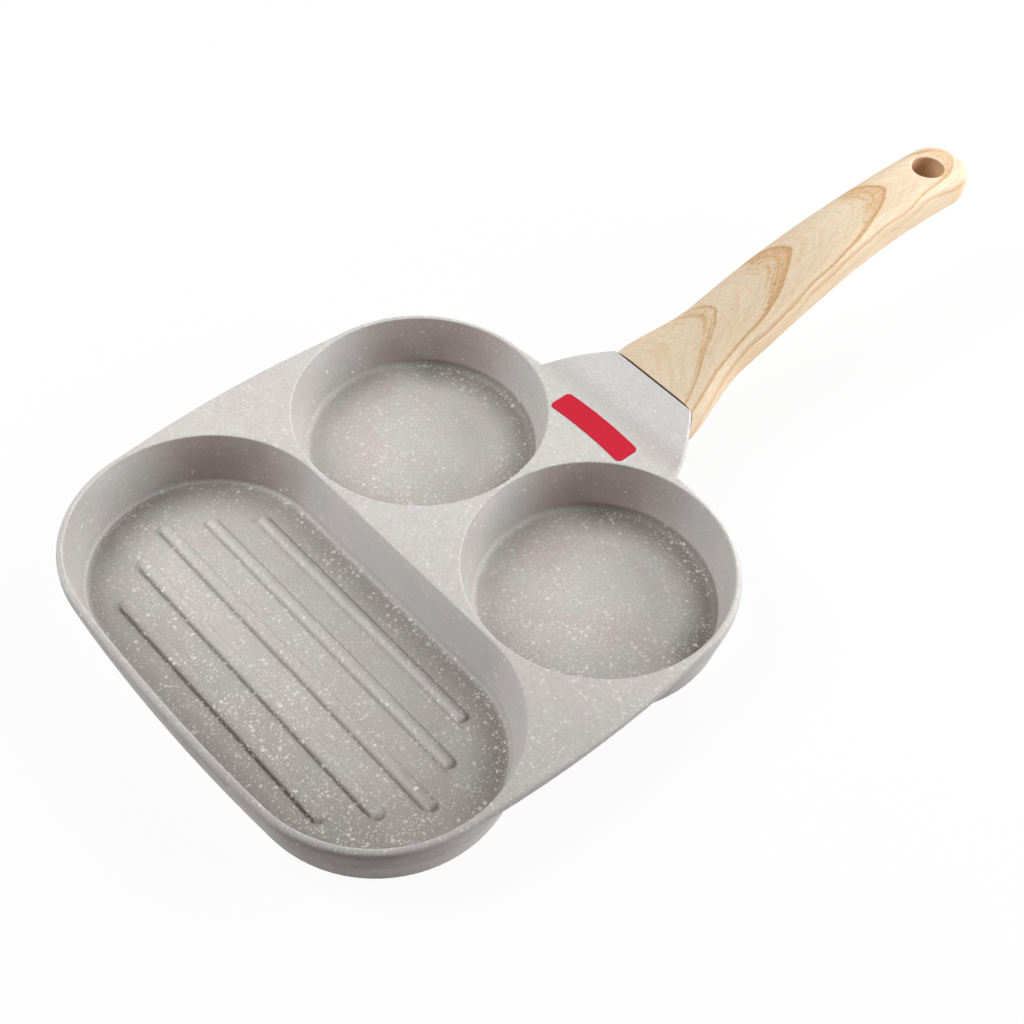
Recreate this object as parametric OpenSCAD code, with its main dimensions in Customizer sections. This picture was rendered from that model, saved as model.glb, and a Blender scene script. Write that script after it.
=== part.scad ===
// Three-well egg frying pan: one cast body with two round wells, a ribbed grill well
// and a tang, a moulded handle screwed on from below, and an enamel badge.
// The origin is the centre of the grill well's base on the surface it stands on.
// The handle points along +Y and the wells open along +Z.

/* [Wells] */
// Radius of a round well at its rim
well_r = 48; // [40:0.5:55]
// Thickness of the wells' floor
floor_t = 3.5; // [2:0.5:6]
// Lean of the wells' inner walls, degrees from upright
well_draft = 10.8; // [4:0.2:16]
// Distance between the two round wells, and between the ends of the grill well
col_pitch = 97.4; // [97:0.1:120]
// Distance from the grill well to the round wells
row_pitch = 97.8; // [97:0.1:120]
// Radius of the fillet between a well's wall and its floor
floor_fillet = 3; // [1:0.5:6]
// Radius of the rim edge where a well meets the deck
rim_round = 0.6; // [0.2:0.1:0.7]

/* [Pan body] */
// Height of the deck above the surface the pan stands on
deck_h = 25; // [19:0.5:34]
// Thickness of the deck between the wells
deck_t = 3; // [2:0.5:5]
// Width of the land between a well's rim and the pan's edge
land_w = 2.5; // [2:0.1:6]
// Depth of the lip round the pan's edge
lip_h = 4; // [3.8:0.1:8]
// Thickness of the lip
lip_t = 3; // [2.2:0.1:5]
// Radius of the pan's upper edge
edge_round = 1.8; // [0.3:0.1:1.9]
// Lean of the wells' outer walls, degrees from upright
outer_draft = 12.5; // [4:0.5:16]
// Radius of the fillet round the foot of each well
base_fillet = 5; // [2:0.5:8]
// Radius to which the pan's two sides bow out
side_bow_r = 450; // [250:10:2000]
// Radius to which the pan's back edge bows out
back_bow_r = 450; // [250:10:2000]
// Radius to which the pan's front edge bows out
front_bow_r = 700; // [250:10:2000]

/* [Grill ribs] */
// Height of the ribs above the grill well's floor
rib_h = 1.7; // [0.8:0.1:2.2]
// Width of a rib at the floor
rib_w = 5; // [3:0.5:7]
// Distance from rib to rib
rib_pitch = 15; // [11:0.5:17]
// Length of the middle rib
rib_len_middle = 156; // [80:1:165]
// Length of the ribs beside it
rib_len_next = 138.6; // [70:1:155]
// Length of the two outer ribs
rib_len_outer = 116.4; // [60:1:130]

/* [Tang] */
// Angle at which the tang rises from the deck
rise = 14.5; // [5:0.5:25]
// Distance from the deck's back edge in to the bend where the tang rises
bend_in = 1.9; // [0.5:0.1:3.5]
// Radius of the bend from the deck to the tang
bend_r = 30; // [10:1:50]
// Half the tang's width where it leaves the deck
tang_root_hw = 36.7; // [26:0.1:38]
// Half the tang's width at the handle
tang_tip_hw = 21; // [18:0.1:26]
// How far the tang's sides bulge out
tang_bulge = 1.4; // [0:0.1:3]
// Distance from the bend to the handle
tang_len = 22; // [18:0.5:40]
// Thickness of the tang
tang_t = 2.9; // [2:0.1:4]
// Radius of the tang's edges
tang_round = 1.3; // [0.3:0.1:2]
// Width of the lug that enters the handle
lug_w = 26; // [16:1:30]
// Thickness of the lug
lug_t = 6; // [4:0.5:7]
// Length of the lug inside the handle
lug_in = 38; // [28:1:50]

/* [Handle] */
// Length of the handle
handle_len = 174; // [150:1:220]
// Half the handle's width at the tang
handle_front_hw = 21.1; // [18:0.1:26]
// Half the handle's width at its neck
handle_neck_hw = 15.7; // [14:0.1:20]
// Half the handle's width at its far end
handle_end_hw = 12.8; // [11:0.1:18]
// Distance from the tang to the neck
neck_at = 34; // [25:1:60]
// Distance from the tang to where the handle has its end width
slim_at = 129; // [90:1:140]
// Depth of the handle at the tang
handle_front_t = 20.8; // [16:0.1:26]
// Depth of the handle at its neck
handle_neck_t = 17; // [15:0.1:22]
// Depth of the handle at its far end
handle_end_t = 17.2; // [10:0.1:20]
// Length over which the handle's end rounds off
cap_len = 14; // [9:0.1:20]
// Length of the handle's straight rise
straight_len = 57; // [52:1:90]
// Radius of the arch that levels the handle out
arch_r = 313; // [250:1:600]
// Width of the seam between the tang and the handle
seam_gap = 0.5; // [0.1:0.1:1]
// Radius of the hang hole
hang_r = 6.5; // [3:0.1:8]
// Distance from the hang hole's centre to the handle's end
hang_from_end = 20.5; // [15:0.5:30]
// Width of the bevel round the hang hole
hang_bevel = 0.8; // [0.3:0.1:1.5]

/* [Screw] */
// Radius of the handle screw's shank
screw_r = 2.4; // [1.5:0.1:3]
// Radius of its head
screw_head_r = 4.2; // [3.4:0.1:5]
// Height of its head
screw_head_h = 2.4; // [1.5:0.1:2.6]
// Length of the cross in its head
cross_len = 5.4; // [3:0.1:6]
// Width of the cross
cross_w = 1.2; // [0.8:0.1:1.6]
// Depth of the cross
cross_t = 1.4; // [0.6:0.1:1.4]
// Distance from the tang to the screw
screw_at = 20; // [10:1:24]
// Handle material left under the screw's head
screw_wall = 2.8; // [2:0.1:3]

/* [Badge] */
// Length of the badge
badge_len = 37.6; // [20:0.5:40]
// Width of the badge
badge_w = 10; // [6:0.5:10]
// Distance from the bend in to the badge's middle
badge_in = 7; // [6.8:0.1:7.6]
// Radius to which the badge bows
badge_bow_r = 190; // [80:5:500]
// Radius of the badge's corners
badge_corner_r = 2; // [0.5:0.1:3]
// Depth of the badge's pocket in the deck
badge_sunk = 0.6; // [0.3:0.1:1]
// How far the badge stands above the deck
badge_proud = 0.15; // [0:0.05:0.6]

/* [Clearances] */
// Gap round the lug in the handle's socket
socket_gap = 0.25; // [0.1:0.05:0.6]
// Gap round the screw's shank in the lug
thread_gap = 0.1; // [0.05:0.05:0.3]
// Gap round the screw's shank and head in the handle
screw_gap = 0.35; // [0.1:0.05:0.6]
// Gap round the badge in its pocket
badge_gap = 0.1; // [0.05:0.05:0.3]

/* [Hidden] */

$fn = 96;
cut = 1;

land_r = well_r + land_w;
well_depth = deck_h - floor_t;
lip_z = deck_h - lip_h;
web_z = deck_h - deck_t;
col_x = col_pitch / 2;
deck_inset = 0.3;
edge_steps = 4;
corner_steps = 18;
corner_turn = 90 / corner_steps;
bow_steps = 10;
rib_steps = 12;
tang_steps = 20;
handle_points = 40;
handle_steps = 30;
cap_steps = 10;
badge_facets = 240;
corner_facets = 32;

bend_y = row_pitch + back_bow_r - bow_c(col_pitch, back_bow_r) - deck_inset - bend_in;
seam_y = bend_y + tang_len;
handle_y = seam_y + seam_gap;
seam_z = deck_h + tang_len * tan(rise);
bend_half = bend_r * tan(rise / 2);
arch_y = seam_y + straight_len;
arch_z = seam_z + straight_len * tan(rise);
end_y = seam_y + handle_len;
cap_y = end_y - cap_len;
hang_y = end_y - hang_from_end;

tang_under = 9;
skin = 3;
lug_under = skin + lug_t;
lug_root = 12;
front_round = 0.4;
front_power = 7;
body_power = 4;
cap_power = 3.3;
cap_turn = 88;
socket_before = 5;
seam_along = tang_len / cos(rise);
screw_along = (tang_len + screw_at) / cos(rise);
screw_seat = lug_under + socket_gap + screw_wall;
screw_tip = skin + 1;
badge_y = bend_y - badge_in;
badge_cy = badge_y - badge_bow_r;

// Plane curves

function polar(r, a) = [r * cos(a), r * sin(a)];

function arc(c, r, a0, a1, steps) =
    [for (i = [0 : steps]) c + polar(r, a0 + (a1 - a0) * i / steps)];

function ease(t) = let (u = max(0, min(1, t))) u * u * (3 - 2 * u);

function blend(a, b, t) = a + (b - a) * t;

function power(v, e) = sign(v) * pow(abs(v), e);

// A side of the pan bows out between two corner circles of radius land_r.
// half_turn is half the angle of that bow, and bow_c how far its centre lies back.
function half_turn(chord, bow_r) = asin(chord / 2 / (bow_r - land_r));

function bow_c(chord, bow_r) = (bow_r - land_r) * cos(half_turn(chord, bow_r));

// Outline of the grill well, anticlockwise, at distance r from its middle line
function grill_outline(r) =
    let (
        turn = half_turn(col_pitch, front_bow_r),
        c = bow_c(col_pitch, front_bow_r),
        bow = front_bow_r - land_r + r
    )
    concat(
        arc([0, c], bow, -90 - turn, -90 + turn, bow_steps),
        arc([col_x, 0], r, -90 + turn + corner_turn, 90, 2 * corner_steps),
        arc([-col_x, 0], r, 90, 270 - turn - corner_turn, 2 * corner_steps)
    );

// Outline of the deck, anticlockwise, at distance r from the corner circles' centres
function deck_outline(r) =
    let (
        grow = r - land_r,
        side = half_turn(row_pitch, side_bow_r),
        back = half_turn(col_pitch, back_bow_r),
        front = half_turn(col_pitch, front_bow_r),
        side_x = bow_c(row_pitch, side_bow_r) - col_x,
        back_y = row_pitch - bow_c(col_pitch, back_bow_r),
        front_y = bow_c(col_pitch, front_bow_r),
        turn = corner_turn
    )
    concat(
        arc([0, front_y], front_bow_r + grow, -90 - front, -90 + front, bow_steps),
        arc([col_x, 0], r, -90 + front + turn, -side - turn, corner_steps),
        arc([-side_x, row_pitch / 2], side_bow_r + grow, -side, side, bow_steps),
        arc([col_x, row_pitch], r, side + turn, 90 - back - turn, corner_steps),
        arc([0, back_y], back_bow_r + grow, 90 - back, 90 + back, bow_steps),
        arc([-col_x, row_pitch], r, 90 + back + turn, 180 - side - turn, corner_steps),
        arc([side_x, row_pitch / 2], side_bow_r + grow, 180 - side, 180 + side, bow_steps),
        arc([-col_x, 0], r, 180 + side + turn, 270 - front - turn, corner_steps)
    );

// Sections, each as points of distance r from a well's middle and height z

// Outside of a well from its base up to the middle of the land
function shell_section() =
    let (
        wall_at = land_r - (lip_z - base_fillet) * tan(outer_draft),
        foot_c = [wall_at - base_fillet / cos(outer_draft), base_fillet],
        lip_c = [land_r - edge_round, deck_h - edge_round]
    )
    concat(
        arc(foot_c, base_fillet, -90, -outer_draft, edge_steps + 2),
        [[land_r, lip_z]],
        arc(lip_c, edge_round, 0, 90, edge_steps)
    );

// Edge of the bare deck with its lip, just inside the land of the wells
function deck_section() =
    let (c = land_r - deck_inset - edge_round)
    concat(
        [[c + edge_round - lip_t, web_z]],
        [[c + edge_round - lip_t, lip_z]],
        arc([c, lip_z + edge_round], edge_round, -90, 0, edge_steps),
        arc([c, deck_h - edge_round], edge_round, 0, 90, edge_steps)
    );

// Space inside a well from its floor up, open above the deck
function space_section() =
    let (
        lean = tan(well_draft),
        foot_r = well_r - (well_depth - floor_fillet) * lean - floor_fillet / cos(well_draft),
        rim_c = [well_r - rim_round * lean + rim_round / cos(well_draft), deck_h - rim_round]
    )
    concat(
        arc([foot_r, floor_t + floor_fillet], floor_fillet, -90, -well_draft, edge_steps),
        arc(rim_c, rim_round, 180 - well_draft, 90, edge_steps),
        [[rim_c[0], deck_h + cut]]
    );

// Closed solid through rings of equally many points
module loft(rings) {
    n = len(rings[0]);
    m = len(rings);
    polyhedron(
        points = [for (ring = rings) each ring],
        faces = concat(
            [[for (i = [0 : n - 1]) i]],
            [for (k = [0 : m - 2], i = [0 : n - 1]) [
                k * n + i,
                (k + 1) * n + i,
                (k + 1) * n + (i + 1) % n,
                k * n + (i + 1) % n
            ]],
            [[for (i = [n - 1 : -1 : 0]) (m - 1) * n + i]]
        )
    );
}

module turned(section) {
    top = section[len(section) - 1][1];
    rotate_extrude()
        polygon(concat([[0, section[0][1]]], section, [[0, top]]));
}

module round_wells(section) {
    for (x = [-col_x, col_x])
        translate([x, row_pitch, 0])
            turned(section);
}

module grill_well(section) {
    loft([for (s = section) [for (p = grill_outline(s[0])) [p[0], p[1], s[1]]]]);
}

module deck() {
    loft([for (s = deck_section()) [for (p = deck_outline(s[0])) [p[0], p[1], s[1]]]]);
}

module along_x(length) {
    rotate([90, 0, 90])
        linear_extrude(length, center = true)
            children();
}

// One rib is the cap of a round-ended bar that lies mostly below the floor
module rib(length) {
    bar_r = (pow(rib_w / 2, 2) + pow(rib_h, 2)) / (2 * rib_h);
    half = length / 2 - bar_r;
    translate([0, 0, rib_h - bar_r])
        rotate([0, 90, 0])
            rotate_extrude($fn = 4 * rib_steps)
                polygon(concat(
                    arc([0, -half], bar_r, -90, 0, rib_steps),
                    arc([0, half], bar_r, 0, 90, rib_steps)
                ));
}

module ribs() {
    lengths = [rib_len_middle, rib_len_next, rib_len_outer];
    intersection() {
        for (i = [-2 : 2])
            translate([0, i * rib_pitch, floor_t])
                rib(lengths[abs(i)]);
        translate([0, 0, floor_t + rib_h])
            cube([2 * (col_pitch + well_r), 2 * well_r, 2 * rib_h + cut], center = true);
    }
}

// Tang and handle share one line for their upper side

function top_z(y) =
    y < bend_y - bend_half ? deck_h
    : y < bend_y + bend_half * cos(rise) ?
        deck_h + bend_r - sqrt(pow(bend_r, 2) - pow(y - bend_y + bend_half, 2))
    : y < arch_y ? deck_h + (y - bend_y) * tan(rise)
    : let (a = asin(sin(rise) - (y - arch_y) / arch_r))
        arch_z + arch_r * (cos(a) - cos(rise));

function tang_hw(y) =
    let (t = max(0, (y - bend_y) / tang_len))
    blend(tang_root_hw, tang_tip_hw, t) + 4 * tang_bulge * t * (1 - t);

// Rounded strip across the tang at one place along it
function tang_ring(y, sunk) =
    let (
        hw = tang_hw(y),
        top = top_z(y) - sunk,
        bottom = top - tang_t,
        r = min(tang_round, tang_t / 2)
    )
    [for (p = concat(
        arc([hw - r, bottom + r], r, 0, -90, edge_steps),
        arc([r - hw, bottom + r], r, 270, 180, edge_steps),
        arc([r - hw, top - r], r, 180, 90, edge_steps),
        arc([hw - r, top - r], r, 90, 0, edge_steps)
    )) [p[0], y, p[1]]];

module tang() {
    loft([for (i = [0 : tang_steps])
        let (y = blend(bend_y - tang_under, seam_y, i / tang_steps))
        tang_ring(y, y < bend_y - bend_half ? (deck_t - tang_t) / 2 : 0)
    ]);
}

// Places its children in the tang's slope, with the tang's upper side at z = 0
module on_slope() {
    translate([0, bend_y, deck_h])
        rotate([rise, 0, 0])
            children();
}

module lug() {
    tip = seam_along + lug_in;
    start = seam_along - lug_root;
    difference() {
        on_slope()
            along_x(lug_w)
                polygon([
                    [start, -tang_t / 2],
                    [seam_along - seam_gap - tang_t, -tang_t / 2],
                    [seam_along - seam_gap - tang_t, -skin],
                    [tip, -skin],
                    [tip, -lug_under],
                    [seam_along, -lug_under],
                    [start, -tang_t]
                ]);
        on_slope()
            translate([0, screw_along, -lug_under - cut])
                cylinder(h = lug_t + 2 * cut, r = screw_r + thread_gap);
    }
}

// Outline of the badge, grown by a margin
module badge_outline(margin) {
    offset(r = badge_corner_r + margin, $fn = corner_facets)
        offset(delta = -badge_corner_r)
            intersection() {
                translate([0, badge_cy])
                    difference() {
                        circle(r = badge_bow_r + badge_w / 2, $fn = badge_facets);
                        circle(r = badge_bow_r - badge_w / 2, $fn = badge_facets);
                    }
                translate([-badge_len / 2, badge_y - 2 * badge_w])
                    square([badge_len, 4 * badge_w]);
            }
}

module pan_body() {
    color([0.72, 0.70, 0.68]) {
        difference() {
            union() {
                deck();
                round_wells(shell_section());
                grill_well(shell_section());
                tang();
                lug();
            }
            round_wells(space_section());
            grill_well(space_section());
            translate([0, 0, deck_h - badge_sunk])
                linear_extrude(badge_sunk + cut)
                    badge_outline(badge_gap);
        }
        ribs();
    }
}

module badge() {
    color([0.80, 0.16, 0.24])
        translate([0, 0, deck_h - badge_sunk])
            linear_extrude(badge_sunk + badge_proud)
                badge_outline(0);
}

// Half width, depth and squareness of the handle at a distance from the tang

function handle_hw(d) =
    d < neck_at ? blend(handle_front_hw, handle_neck_hw, ease(d / neck_at))
    : blend(handle_neck_hw, handle_end_hw, ease((d - neck_at) / (slim_at - neck_at)));

function handle_t(d) =
    d < neck_at ? blend(handle_front_t, handle_neck_t, ease(d / neck_at))
    : blend(handle_neck_t, handle_end_t, ease((d - neck_at) / (slim_at - neck_at)));

function squareness(d) = blend(front_power, body_power, ease(d / neck_at));

// Cross-section of the handle at y, scaled in width and depth
function handle_ring(y, wide, deep) =
    let (
        d = y - seam_y,
        e = 2 / squareness(d),
        hw = handle_hw(d) * wide,
        ht = handle_t(d) / 2,
        mid_z = top_z(y) - ht
    )
    [for (i = [0 : handle_points - 1])
        let (a = 360 * i / handle_points)
        [hw * power(cos(a), e), y, mid_z - ht * deep * power(sin(a), e)]
    ];

module handle_form() {
    start = handle_y + front_round;
    front_wide = 1 - front_round / handle_front_hw;
    front_deep = 1 - 2 * front_round / handle_front_t;
    loft(concat(
        [handle_ring(handle_y, front_wide, front_deep)],
        [for (i = [0 : handle_steps]) handle_ring(blend(start, cap_y, i / handle_steps), 1, 1)],
        [for (i = [1 : cap_steps])
            let (u = sin(cap_turn * i / cap_steps), reach = cap_y + cap_len * u)
            handle_ring(reach, sqrt(1 - u * u), pow(1 - pow(u, cap_power), 1 / cap_power))
        ]
    ));
}

module hang_hole() {
    top = top_z(hang_y);
    bottom = top - handle_end_t;
    translate([0, hang_y, bottom - 2 * cut])
        cylinder(h = handle_end_t + 4 * cut, r = hang_r);
    translate([0, hang_y, top - hang_bevel])
        cylinder(h = 2 * hang_bevel, r1 = hang_r, r2 = hang_r + 2 * hang_bevel);
    translate([0, hang_y, bottom - hang_bevel])
        cylinder(h = 2 * hang_bevel, r1 = hang_r + 2 * hang_bevel, r2 = hang_r);
}

module handle() {
    socket_w = lug_w + 2 * socket_gap;
    socket_t = lug_t + 2 * socket_gap;
    socket_end = lug_in + 2 * socket_gap;
    color([0.88, 0.78, 0.62])
        difference() {
            handle_form();
            on_slope()
                translate([-socket_w / 2, seam_along - socket_before, -lug_under - socket_gap])
                    cube([socket_w, socket_end + socket_before, socket_t]);
            on_slope()
                translate([0, screw_along, -screw_seat - cut])
                    cylinder(h = screw_wall + 2 * cut, r = screw_r + screw_gap);
            on_slope()
                translate([0, screw_along, -screw_seat - handle_front_t])
                    cylinder(h = handle_front_t, r = screw_head_r + screw_gap);
            hang_hole();
        }
}

module handle_screw() {
    color([0.62, 0.63, 0.65])
        on_slope()
            translate([0, screw_along, -screw_seat])
                difference() {
                    union() {
                        translate([0, 0, -screw_head_h])
                            cylinder(h = screw_head_h, r = screw_head_r);
                        cylinder(h = screw_seat - screw_tip, r = screw_r);
                    }
                    for (a = [0, 90])
                        rotate([0, 0, a])
                            translate([-cross_len / 2, -cross_w / 2, -screw_head_h - cut])
                                cube([cross_len, cross_w, cross_t + cut]);
                }
}

pan_body();
badge();
handle();
handle_screw();
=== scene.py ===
"""Egg frying pan: stone-look coating, wood-look handle, enamel badge and a plain studio."""

import math
from types import SimpleNamespace

import bmesh
import bpy
from bpy.props import FloatProperty, FloatVectorProperty, PointerProperty
from bpy.types import Operator, Panel, PropertyGroup
from mathutils import Matrix, Vector


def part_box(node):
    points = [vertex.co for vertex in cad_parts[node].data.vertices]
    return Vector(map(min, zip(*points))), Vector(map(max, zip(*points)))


bl_info = {
    "name": "Egg Frying Pan",
    "version": (1, 0, 0),
    "blender": (4, 5, 0),
    "location": "View3D > Sidebar > Egg Pan",
    "description": "Dresses the packed egg frying pan and sets up its studio",
    "category": "Object",
}

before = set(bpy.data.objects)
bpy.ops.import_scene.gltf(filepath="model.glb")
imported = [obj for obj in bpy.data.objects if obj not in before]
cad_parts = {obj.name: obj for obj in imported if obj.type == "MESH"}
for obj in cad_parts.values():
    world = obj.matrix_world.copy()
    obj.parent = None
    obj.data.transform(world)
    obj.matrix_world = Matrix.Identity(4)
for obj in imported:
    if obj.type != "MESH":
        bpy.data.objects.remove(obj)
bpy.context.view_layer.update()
MM = 0.001


# Property types


def colour(name, description, default):
    return FloatVectorProperty(
        name=name, description=description, default=default, subtype="COLOR", size=3, min=0, max=1
    )


def length(name, description, default):
    return FloatProperty(
        name=name, description=description, default=default, unit="LENGTH", precision=5, min=0
    )


def share(name, description, default):
    return FloatProperty(
        name=name, description=description, default=default, subtype="FACTOR", min=0, max=1
    )


def angle(name, description, degrees):
    return FloatProperty(
        name=name, description=description, default=math.radians(degrees), subtype="ANGLE"
    )


def power(name, description, default):
    return FloatProperty(name=name, description=description, default=default, unit="POWER", min=0)


class CoatingLook(PropertyGroup):
    """Stone-look non-stick coating of the pan body"""

    deck: colour("Deck", "Coating on the deck", (0.690, 0.663, 0.640))
    # Partly painted light: paler than the deck for the light on the tilted tang, and a cooler grey
    tang: colour("Tang", "Coating on the tang", (0.785, 0.780, 0.768))
    floor: colour("Floors", "Coating on the floors of the wells", (0.660, 0.634, 0.592))
    wall: colour("Walls", "Coating on the upright walls", (0.549, 0.535, 0.521))
    rose: colour("Rose Tint", "Colour of the warm patches", (0.665, 0.560, 0.560))
    sage: colour("Sage Tint", "Colour of the cool patches", (0.615, 0.635, 0.575))
    # Painted shade: a deeper, warmer copy of the coating for the walls that face away from the lamps
    shade: colour("Shaded Walls", "Coating on the walls that face the viewer", (0.481, 0.402, 0.392))
    fleck: colour("Flecks", "Colour of the pale flecks", (0.960, 0.940, 0.880))
    patch_size: length("Patch Size", "Size of the tinted patches", 0.016)
    fine_spacing: length("Fine Flecks", "Distance between the fine flecks", 0.0010)
    coarse_spacing: length("Coarse Flecks", "Distance between the coarse flecks", 0.0024)
    roughness: share("Roughness", "Roughness of the coating", 0.50)
    gloss: share("Gloss", "Specular level of the coating", 0.30)


class HandleLook(PropertyGroup):
    """Printed wood look of the moulded handle"""

    pale: colour("Early Wood", "Pale wood between the rings", (0.900, 0.780, 0.600))
    honey: colour("Honey", "Warm wood that leads up to a ring", (0.740, 0.470, 0.245))
    ring: colour("Late Wood", "Darkest line of a ring", (0.620, 0.350, 0.165))
    pore: colour("Pores", "Colour of the short dark pores", (0.420, 0.260, 0.130))
    hole: colour("Bore", "Wood look inside the hang hole", (0.610, 0.400, 0.240))
    # Painted shade: near-black stands in for the shadow in the seam with the tang
    seam: colour("Seam", "Colour of the handle's face against the tang", (0.090, 0.045, 0.020))
    roughness: share("Roughness", "Roughness of the handle", 0.55)
    gloss: share("Gloss", "Specular level of the handle", 0.25)


class BadgeLook(PropertyGroup):
    """Plain enamel badge"""

    enamel: colour("Enamel", "Colour of the enamel", (0.625, 0.020, 0.045))
    # Painted shade at the badge's rim, in the groove round it; the same colour also tints the
    # enamel's clouds
    edge: colour("Edge", "Colour of the enamel at its rim", (0.500, 0.015, 0.040))
    roughness: share("Roughness", "Roughness of the enamel", 0.50)
    gloss: share("Gloss", "Specular level of the enamel", 0.12)


class ScrewLook(PropertyGroup):
    """Plain steel of the hidden handle screw"""

    dark: colour("Dark Steel", "Darker tone of the steel", (0.520, 0.520, 0.530))
    pale: colour("Pale Steel", "Paler tone of the steel", (0.660, 0.660, 0.670))
    smoothest: share("Smoothest", "Lowest roughness of the steel", 0.25)
    roughest: share("Roughest", "Highest roughness of the steel", 0.40)
    gloss: share("Gloss", "Specular level of the steel", 0.30)


class StudioLook(PropertyGroup):
    """Camera, lamps and floor"""

    azimuth: angle("Azimuth", "Direction the camera looks from, round the pan", 45.86)
    elevation: angle("Elevation", "Height of the camera above the horizon", 49.858)
    roll: angle("Roll", "Tilt of the camera about its own axis", 3.507)
    distance: length("Distance", "Camera to the point it looks at", 0.625869)
    lens: FloatProperty(name="Lens", description="Focal length in millimetres", default=61.84, min=1)
    target: FloatVectorProperty(
        name="Target",
        description="Point the camera looks at",
        default=(0.011601, 0.090580, 0.025),
        subtype="TRANSLATION",
    )
    middle: FloatVectorProperty(
        name="Middle",
        description="Point the lamps aim at",
        default=(0.0, 0.1, 0.02),
        subtype="TRANSLATION",
    )
    reach: length("Lamp Distance", "Distance from the lamps to the point they aim at", 1.3)
    lamp_size: length("Lamp Size", "Side of each square lamp", 0.8)
    right: power("Right Lamp", "Power of the lamp behind the pan's right side", 15.2)
    right_azimuth: angle("Right Azimuth", "Direction of the right lamp", 135)
    back: power("Back Lamp", "Power of the lamp behind the handle", 12.1)
    back_azimuth: angle("Back Azimuth", "Direction of the back lamp", 180)
    left: power("Left Lamp", "Power of the lamp in front of the pan's left side", 14.3)
    left_azimuth: angle("Left Azimuth", "Direction of the left lamp", 315)
    low: angle("Low", "Height of the right and back lamps above the horizon", 20)
    high: angle("High", "Height of the left lamp above the horizon", 45)
    floor: colour("Floor", "Colour of the floor", (0.50, 0.50, 0.50))
    glow: share("Glow", "How much of the floor's white hides its shadow", 0.88)


LOOKS = {
    "eggpan_coating": CoatingLook,
    "eggpan_handle": HandleLook,
    "eggpan_badge": BadgeLook,
    "eggpan_screw": ScrewLook,
    "eggpan_studio": StudioLook,
}


# Shader building


def add(tree, kind, inputs=None, **settings):
    """Adds a node, sets its options, and links or sets each input that is named or numbered."""
    node = tree.nodes.new(kind)
    for name, value in settings.items():
        setattr(node, name, value)
    for name, value in (inputs or {}).items():
        feed(tree, node.inputs[name], value)
    return node


def feed(tree, socket, value):
    """Links a socket to another one, or sets its value."""
    if isinstance(value, bpy.types.NodeSocket):
        tree.links.new(value, socket)
    elif socket.type == "RGBA" and len(value) == 3:
        socket.default_value = (*value, 1)
    else:
        socket.default_value = value


def calc(tree, operation, *values):
    node = add(tree, "ShaderNodeMath", operation=operation)
    for socket, value in zip(node.inputs, values):
        feed(tree, socket, value)
    return node.outputs[0]


def times(tree, *values):
    """Product of all the values."""
    result = values[0]
    for value in values[1:]:
        result = calc(tree, "MULTIPLY", result, value)
    return result


def span(tree, value, low, high, to_low=0.0, to_high=1.0, smooth=True):
    """Takes a value from one range to another. Past either end it stays at that end's result."""
    node = add(
        tree,
        "ShaderNodeMapRange",
        {"Value": value, "From Min": low, "From Max": high, "To Min": to_low, "To Max": to_high},
        interpolation_type="SMOOTHSTEP" if smooth else "LINEAR",
    )
    return node.outputs["Result"]


def between(tree, mask, off, on):
    """Value that goes from off to on as a mask goes from 0 to 1."""
    return span(tree, mask, 0, 1, off, on)


def rest_of(tree, mask):
    return calc(tree, "SUBTRACT", 1.0, mask)


def mix(tree, factor, a, b):
    node = add(tree, "ShaderNodeMix", data_type="RGBA")
    feed(tree, node.inputs[0], factor)
    feed(tree, node.inputs[6], a)
    feed(tree, node.inputs[7], b)
    return node.outputs[2]


def noise(tree, vector, scale, detail=2.0, roughness=0.5, output="Fac"):
    settings = {"Vector": vector, "Scale": scale, "Detail": detail, "Roughness": roughness}
    return add(tree, "ShaderNodeTexNoise", settings).outputs[output]


def vector_math(tree, operation, a, b):
    return add(tree, "ShaderNodeVectorMath", {0: a, 1: b}, operation=operation).outputs[0]


def dot(tree, a, b):
    node = add(tree, "ShaderNodeVectorMath", {0: a, 1: b}, operation="DOT_PRODUCT")
    return node.outputs["Value"]


def combine(tree, x, y, z):
    return add(tree, "ShaderNodeCombineXYZ", {0: x, 1: y, 2: z}).outputs[0]


def separate(tree, vector):
    return add(tree, "ShaderNodeSeparateXYZ", {"Vector": vector}).outputs


def new_group(name, inputs, outputs):
    """Makes a shader node group and returns its tree, input sockets and output sockets."""
    tree = bpy.data.node_groups.new(name, "ShaderNodeTree")
    for label, kind, default in inputs:
        socket = tree.interface.new_socket(label, in_out="INPUT", socket_type=kind)
        if default is not None:
            socket.default_value = default
    for label, kind in outputs:
        tree.interface.new_socket(label, in_out="OUTPUT", socket_type=kind)
    enter = tree.nodes.new("NodeGroupInput")
    leave = tree.nodes.new("NodeGroupOutput")
    return tree, enter.outputs, leave.inputs


FLOAT = "NodeSocketFloat"
VECTOR = "NodeSocketVector"

# Range that holds most values of a noise, and how far it takes the roughness down and up
MOST_NOISE = (0.3, 0.7)
SMOOTHER = 0.04
ROUGHER = 0.06

# Flecks group: smallest and largest grain as shares of the set size, faintest and strongest
# grain, and the share of a grain's radius inside which it is full
GRAIN_SIZES = (0.5, 1.3)
GRAIN_STRENGTHS = (0.2, 1.0)
GRAIN_CORE = 0.5


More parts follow.
